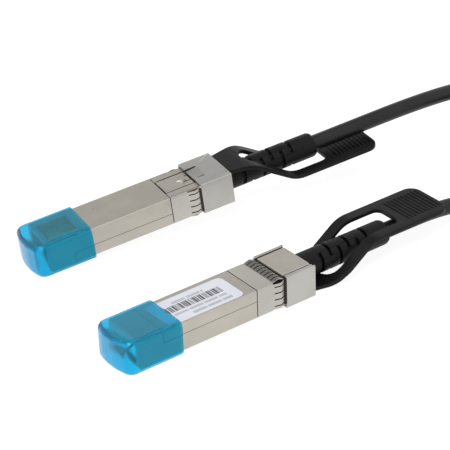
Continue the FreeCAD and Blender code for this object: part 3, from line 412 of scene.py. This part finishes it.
# %% Specks
def make_speck_group():
    """Specks: sparse small dots that darken a colour. Only a few cells of the pattern hold one."""
    group, start, end = new_group(
        "small_specks", (("Position", None), ("Scale", 900.0), ("Size", 0.12), ("Share", 0.04),
                         ("Clean", (1, 1, 1)), ("Marked", (0, 0, 0))), (("Color", "NodeSocketColor"),))
    cells = group.nodes.new("ShaderNodeTexVoronoi")
    part = group.nodes.new("ShaderNodeSeparateColor")
    group.links.new(start.outputs["Position"], cells.inputs["Vector"])
    group.links.new(start.outputs["Scale"], cells.inputs["Scale"])
    group.links.new(cells.outputs["Color"], part.inputs[0])
    near = add_math(group, "LESS_THAN", cells.outputs["Distance"], start.outputs["Size"])
    chosen = add_math(group, "LESS_THAN", part.outputs[0], start.outputs["Share"])
    blend = group.nodes.new("ShaderNodeMix")
    blend.data_type = "RGBA"
    group.links.new(add_math(group, "MULTIPLY", near, chosen), blend.inputs["Factor"])
    group.links.new(start.outputs["Clean"], blend.inputs["A"])
    group.links.new(start.outputs["Marked"], blend.inputs["B"])
    group.links.new(blend.outputs["Result"], end.inputs["Color"])
    return group


SPECKS = make_speck_group()
print("node group:", SPECKS.name)


# %% Shaded places
def make_shade_group():
    """Darkens a colour inside a box that is mirrored across y, such as a seam or a groove."""
    group, start, end = new_group(
        "shaded_place", (("Position", None), ("Low", None), ("High", None), ("Shade", 0.5),
                         ("Clean", (1, 1, 1))), (("Color", "NodeSocketColor"),))
    part = group.nodes.new("ShaderNodeSeparateXYZ")
    group.links.new(start.outputs["Position"], part.inputs[0])
    place = {"X": part.outputs["X"], "Z": part.outputs["Z"],
             "Y": add_math(group, "ABSOLUTE", part.outputs["Y"])}
    mask = start.outputs["Shade"]
    for limit, test in (("Low", "GREATER_THAN"), ("High", "LESS_THAN")):
        bound = group.nodes.new("ShaderNodeSeparateXYZ")
        group.links.new(start.outputs[limit], bound.inputs[0])
        for word, value in place.items():
            mask = add_math(group, "MULTIPLY", mask, add_math(group, test, value, bound.outputs[word]))
    blend = group.nodes.new("ShaderNodeMix")
    blend.data_type = "RGBA"
    blend.inputs["B"].default_value = (0, 0, 0, 1)
    group.links.new(mask, blend.inputs["Factor"])
    group.links.new(start.outputs["Clean"], blend.inputs["A"])
    group.links.new(blend.outputs["Result"], end.inputs["Color"])
    return group


SHADE = make_shade_group()
print("node group:", SHADE.name)


# %% One way to start every finish
def new_finish(name, colour, metallic=0.0, **sockets):
    """A material whose constant values sit on the shader itself. Returns it with its tree and shader."""
    material = bpy.data.materials.new(name)
    material.use_nodes = True
    tree = material.node_tree
    shader = tree.nodes["Principled BSDF"]
    shader.inputs["Base Color"].default_value = (*colour, 1)
    shader.inputs["Metallic"].default_value = metallic
    for socket, value in sockets.items():
        shader.inputs[socket.replace("_", " ")].default_value = value
    return material, tree, shader


def add_grain(tree, shader, scale, middle, spread, bump):
    """Roughness and bump from the grain group, on Object coordinates."""
    place = tree.nodes.new("ShaderNodeTexCoord")
    grain = tree.nodes.new("ShaderNodeGroup")
    grain.node_tree = GRAIN
    grain.inputs["Scale"].default_value = scale
    grain.inputs["Middle"].default_value = middle
    grain.inputs["Spread"].default_value = spread
    height = tree.nodes.new("ShaderNodeBump")
    height.inputs["Distance"].default_value = bump
    tree.links.new(place.outputs["Object"], grain.inputs["Position"])
    tree.links.new(grain.outputs["Roughness"], shader.inputs["Roughness"])
    tree.links.new(grain.outputs["Height"], height.inputs["Height"])
    tree.links.new(height.outputs["Normal"], shader.inputs["Normal"])


MOTTLE_RAMP = (0.35, 0.65)


def tint_by_noise(tree, scale, dark, light):
    """Slow change of colour between two tones, as plating and moulding have. Returns the socket."""
    place = tree.nodes.new("ShaderNodeTexCoord")
    noise = tree.nodes.new("ShaderNodeTexNoise")
    noise.inputs["Scale"].default_value = scale
    noise.inputs["Detail"].default_value = 2
    ramp = tree.nodes.new("ShaderNodeValToRGB")
    for element, position, colour in zip(ramp.color_ramp.elements, MOTTLE_RAMP, (dark, light)):
        element.position = position
        element.color = (*colour, 1)
    tree.links.new(place.outputs["Object"], noise.inputs["Vector"])
    tree.links.new(noise.outputs["Fac"], ramp.inputs[0])
    return ramp.outputs[0]


def add_specks(tree, colour, scale, size, share, marked):
    """A few small marks over a colour. Returns the socket."""
    place = tree.nodes.new("ShaderNodeTexCoord")
    specks = tree.nodes.new("ShaderNodeGroup")
    specks.node_tree = SPECKS
    specks.inputs["Scale"].default_value = scale
    specks.inputs["Size"].default_value = size
    specks.inputs["Share"].default_value = share
    specks.inputs["Marked"].default_value = (*marked, 1)
    tree.links.new(place.outputs["Object"], specks.inputs["Position"])
    tree.links.new(colour, specks.inputs["Clean"])
    return specks.outputs["Color"]


def own_position(tree, end):
    """Object coordinates turned into the coordinates of connector a or b."""
    place = tree.nodes.new("ShaderNodeTexCoord")
    turn = tree.nodes.new("ShaderNodeMapping")
    turn.vector_type = "TEXTURE"
    turn.inputs["Location"].default_value = CONNECTOR[end].translation
    turn.inputs["Rotation"].default_value = CONNECTOR[end].to_euler("XYZ")
    tree.links.new(place.outputs["Object"], turn.inputs["Vector"])
    return turn.outputs["Vector"]


def shade_places(tree, colour, end, places):
    """Darken a colour in some boxes, given in millimetres in the connector's own frame."""
    position = own_position(tree, end)
    for low, high, shade in places:
        box = tree.nodes.new("ShaderNodeGroup")
        box.node_tree = SHADE
        box.inputs["Low"].default_value = [v * MM for v in low]
        box.inputs["High"].default_value = [v * MM for v in high]
        box.inputs["Shade"].default_value = shade
        tree.links.new(position, box.inputs["Position"])
        tree.links.new(colour, box.inputs["Clean"])
        colour = box.outputs["Color"]
    return colour


# %% [markdown]
# ## Finishes
#
# The castings are nickel plated zinc: warm grey, satin, faintly mottled, with a few small marks.
# The sheet pieces have the same plating on a smoother face. The plastics are a near-black nylon
# and a softer elastomer, and the caps are a clear blue vinyl that lets the metal show through. A
# see-through finish could be a low alpha, which is quick but milky. Transmission with a tint is
# used, because light is then tinted again at each wall, and absorption in the wall itself makes
# the thick edges deeper.

# %% Metals
# Each shaded place has its low corner and its high corner in millimetres, in the connector's own
# frame, and the share of the colour that it takes away. These are the castings': joint of the
# halves, front of the upper half, groove before the collar, floor below the fingers, and gutters
# beside the deck.
CASTING_SHADES = (((-40.0, 6.6, 5.00), (-9.4, 7.0, 5.20), 0.65),
                  ((-40.1, 0.0, 5.1), (-39.9, 7.0, 9.0), 0.6),
                  ((-9.66, 0.0, -0.1), (-9.39, 7.0, 9.0), 0.75),
                  ((-4.3, 0.0, 0.5), (0.05, 7.0, 8.6), 0.8),
                  ((-0.1, 5.57, 8.2), (10.0, 7.0, 8.87), 0.85))
GRAIN_SPREAD = 0.1
MOTTLE_SCALE = 130
MOTTLE_DEPTH = 0.92
SPECK_SCALE = 700
SPECK_SIZE = 0.13
SPECK_DEPTH = 0.55


def finish_metal(name, tone, roughness, scale, bump, specks, end=None, shades=()):
    """Satin nickel plating. The tone is its lightest colour, and specks is the share of marked cells."""
    dark = tuple(MOTTLE_DEPTH * c for c in tone)
    material, tree, shader = new_finish(name, tone, 1.0)
    add_grain(tree, shader, scale, roughness, GRAIN_SPREAD, bump)
    colour = add_specks(tree, tint_by_noise(tree, MOTTLE_SCALE, dark, tone), SPECK_SCALE,
                        SPECK_SIZE, specks, tuple(SPECK_DEPTH * c for c in dark))
    if shades:
        colour = shade_places(tree, colour, end, shades)
    tree.links.new(colour, shader.inputs["Base Color"])
    return material


# %% Plastics, rubber, strap and card
# Shaded places of the pull tab: the grip's grooves on both faces.
TAB_SHADES = (((43.9, -0.1, 8.35), (57.0, 5.45, 9.25), 0.85),)
# Shaded places of the boot: the floors of its slots, round the cable.
BOOT_SHADES = (((14.0, -0.1, 1.45), (33.0, 1.9, 8.15), 0.9),
               ((14.0, -0.1, 2.4), (33.0, 2.4, 7.2), 0.9),
               ((14.0, -0.1, 2.9), (33.0, 3.3, 6.7), 0.9))
TONE_SCALE = 150
BLACK_LIFT = 1.5
BLACK_BLUE = 1.08


def finish_plain(name, colour, roughness, scale=1500, bump=2e-6, lift=1.1,
                 end=None, shades=(), **sockets):
    """A coloured solid with grain and a slow change of tone. The lift is its lightest tone's share."""
    material, tree, shader = new_finish(name, colour, **sockets)
    add_grain(tree, shader, scale, roughness, GRAIN_SPREAD, bump)
    tone = tint_by_noise(tree, TONE_SCALE, colour, tuple(min(1, c * lift) for c in colour))
    if shades:
        tone = shade_places(tree, tone, end, shades)
    tree.links.new(tone, shader.inputs["Base Color"])
    return material


def finish_black(name, tone, roughness, scale, bump, shine=0.3, **places):
    """A near-black solid with a hint of blue."""
    return finish_plain(name, (tone, tone, tone * BLACK_BLUE), roughness, scale, bump, BLACK_LIFT,
                        Specular_IOR_Level=shine, **places)


VINYL_COLOUR = (0.12, 0.82, 1.0)
VINYL_DEPTH = (0.0, 0.83, 0.92, 1)
VINYL_DENSITY = 1400


def finish_cap():
    """Soft clear vinyl: a milky body that swallows the red light, under a glossy skin."""
    material, tree, _ = new_finish(
        "blue_vinyl", VINYL_COLOUR, Transmission_Weight=0.94, IOR=1.40, Roughness=0.19,
        Specular_IOR_Level=0.1, Specular_Tint=(0.05, 0.5, 0.75, 1),
        Coat_Weight=0.20, Coat_Roughness=0.04, Coat_IOR=1.5)
    soak = tree.nodes.new("ShaderNodeVolumeAbsorption")
    soak.inputs["Color"].default_value = VINYL_DEPTH
    soak.inputs["Density"].default_value = VINYL_DENSITY
    output = next(node for node in tree.nodes if node.type == "OUTPUT_MATERIAL")
    tree.links.new(soak.outputs[0], output.inputs["Volume"])
    return material


# %% All finishes, by material slot
FINISH = {
    "plated_steel": finish_metal("nickel_on_sheet", (0.46, 0.45, 0.425), roughness=0.36,
                                 scale=1800, bump=1e-6, specks=0.03),
    "spring_steel": finish_metal("nickel_on_spring", (0.47, 0.455, 0.42), roughness=0.24,
                                 scale=1800, bump=3e-7, specks=0.0),
    "gold": finish_plain("gold_plating", (0.88, 0.62, 0.26), roughness=0.25,
                         scale=3000, bump=1e-6, Metallic=1.0),
    "jacket_black": finish_black("black_jacket", 0.006, roughness=0.38, scale=1500, bump=4e-6),
    "tie_black": finish_black("black_strap", 0.008, roughness=0.9, scale=2500, bump=60e-6, shine=0.1),
    "cap_teal": finish_cap(),
    "circuit_board": finish_plain("solder_mask", (0.02, 0.14, 0.06), roughness=0.35),
    "chip_black": finish_black("chip_body", 0.012, roughness=0.5, scale=2500, bump=2e-6),
    "core_insulation": finish_plain("core_insulation", (0.62, 0.60, 0.55), roughness=0.5),
    "label_white": finish_plain("label_paper", (0.50, 0.51, 0.55), roughness=0.5,
                                scale=2500, bump=1e-6, lift=1.03),
}
# Finishes with shaded places lie differently on each connector, so each end has its own.
for end in "ab":
    FINISH[f"cast_zinc_{end}"] = finish_metal(
        f"nickel_on_zinc_{end}", (0.49, 0.46, 0.41), roughness=0.44, scale=2600, bump=1.5e-6,
        specks=0.05, end=end, shades=CASTING_SHADES)
    FINISH[f"tab_black_{end}"] = finish_black(
        f"black_nylon_{end}", 0.004, roughness=0.42, scale=3500, bump=5e-6, shine=0.14,
        end=end, shades=TAB_SHADES)
    FINISH[f"boot_black_{end}"] = finish_black(
        f"black_elastomer_{end}", 0.003, roughness=0.46, scale=3000, bump=6e-6, shine=0.16,
        end=end, shades=BOOT_SHADES)
print("finishes:", ", ".join(FINISH))

# %% [markdown]
# ## Dressing the solid pieces
#
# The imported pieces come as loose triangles. A Weld modifier joins them. Where the real edge is
# broken or rolled over, a small Bevel catches the light along it, and elsewhere an Edge Split
# keeps the sharp edges sharp. Long thin triangles shade badly when their corners are averaged
# evenly, so Weighted Normal lets the large flat faces decide, and they stay flat.

# %% Give each node its finish
SHARP = math.radians(32)
WELD_REACH = 0.002 * MM
# Width of the broken edges in millimetres. Pieces that aren't named here keep sharp edges.
EDGE = {"shell_base": 0.07, "shell_cover": 0.07, "latch_lever": 0.06,
        "pull_tab": 0.22, "cable_boot": 0.12, "cable_tie": 0.2, "dust_cap": 0.12}


SLOTS = {entry["node"]: entry["material_slot"] for entry in frame["record"]["subparts"]}


def dress(node, piece):
    """Finish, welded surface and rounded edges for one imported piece."""
    slot = SLOTS[node]
    piece.data.materials.clear()
    piece.data.materials.append(FINISH.get(slot) or FINISH[slot + node[-2:]])
    for polygon in piece.data.polygons:
        polygon.use_smooth = True
    weld = piece.modifiers.new("Weld", "WELD")
    weld.merge_threshold = WELD_REACH
    width = next((size for word, size in EDGE.items() if node.startswith(word)), 0)
    if width:
        bevel = piece.modifiers.new("Edges", "BEVEL")
        bevel.width = width * MM
        bevel.segments = 2
        bevel.limit_method = "ANGLE"
        bevel.angle_limit = SHARP
    else:
        split = piece.modifiers.new("Sharp edges", "EDGE_SPLIT")
        split.split_angle = SHARP
    flat = piece.modifiers.new("Flat faces", "WEIGHTED_NORMAL")
    flat.mode = "FACE_AREA_WITH_ANGLE"


cable.data.materials.append(FINISH["jacket_black"])
for node, piece in frame["nodes"].items():
    if not piece.hide_render:
        dress(node, piece)
print("dressed", sum(not piece.hide_render for piece in frame["nodes"].values()), "pieces")

# %% [markdown]
# ## The label's print
#
# The real label carries a strip of bars and three rows of small type. Here they are plain: bars
# in no code, and rows of short dashes that say nothing. They could be a pattern in the paper's
# finish, but as thin plates a hundredth of a millimetre proud they stay crisp from any distance.

# %% Bars and dashes
# All in millimetres in the connector's own frame. Each row has its start and end along the
# connector, then its two edges across it.
LABEL_TOP = 8.58
INK_THICK = 0.02
BAR_COUNT = 30
BAR_ROW = (-34.6, -16.0, -1.35, 1.5)
DASH_ROWS = ((-30.4, -19.9, 2.0, 3.0), (-33.0, -16.0, -3.1, -2.2), (-28.4, -16.0, -5.1, -4.1))


def bar_spans(start, end):
    """Bars one to three units wide, with gaps of one or two units between them."""
    widths = [1 + (index * index) % 7 // 2 for index in range(BAR_COUNT)]
    gaps = [1 + index ** 3 % 5 // 3 for index in range(BAR_COUNT)]
    unit = (end - start) / sum(widths + gaps)
    spans = []
    for width, gap in zip(widths, gaps):
        spans.append((start, start + width * unit))
        start += (width + gap) * unit
    return spans


def dash_spans(start, end, size=0.42, gap=0.2, word=7):
    """Short dashes, with a wider gap after every few of them."""
    spans = []
    while start + size < end:
        spans.append((start, start + size))
        start += size + gap * (3 if len(spans) % word == 0 else 1)
    return spans


def make_print(name, plates, finish):
    """Thin plates on the label of connector b, from spans along x and across y."""
    shape = bmesh.new()
    for (x0, x1), (y0, y1) in plates:
        middle = Vector(((x0 + x1) / 2, (y0 + y1) / 2, LABEL_TOP)) * MM
        size = Vector((x1 - x0, y1 - y0, INK_THICK)) * MM
        place = CONNECTOR["b"] @ Matrix.LocRotScale(middle, None, size)
        bmesh.ops.create_cube(shape, size=1, matrix=place)
    mesh = bpy.data.meshes.new(name)
    shape.to_mesh(mesh)
    shape.free()
    mesh.materials.append(finish)
    piece = bpy.data.objects.new(name, mesh)
    bpy.context.scene.collection.objects.link(piece)
    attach(piece, "cable")
    return piece


ink = finish_plain("dark_ink", (0.03, 0.03, 0.035), 0.5)
pale_ink = finish_plain("pale_ink", (0.25, 0.25, 0.28), 0.5)
bars = [(span, BAR_ROW[2:]) for span in bar_spans(*BAR_ROW[:2])]
dashes = [(span, row[2:]) for row in DASH_ROWS for span in dash_spans(*row[:2])]
make_print("label_bars", bars, ink)
make_print("label_lines", dashes, pale_ink)
print("print on the label:", len(bars), "bars and", len(dashes), "dashes")
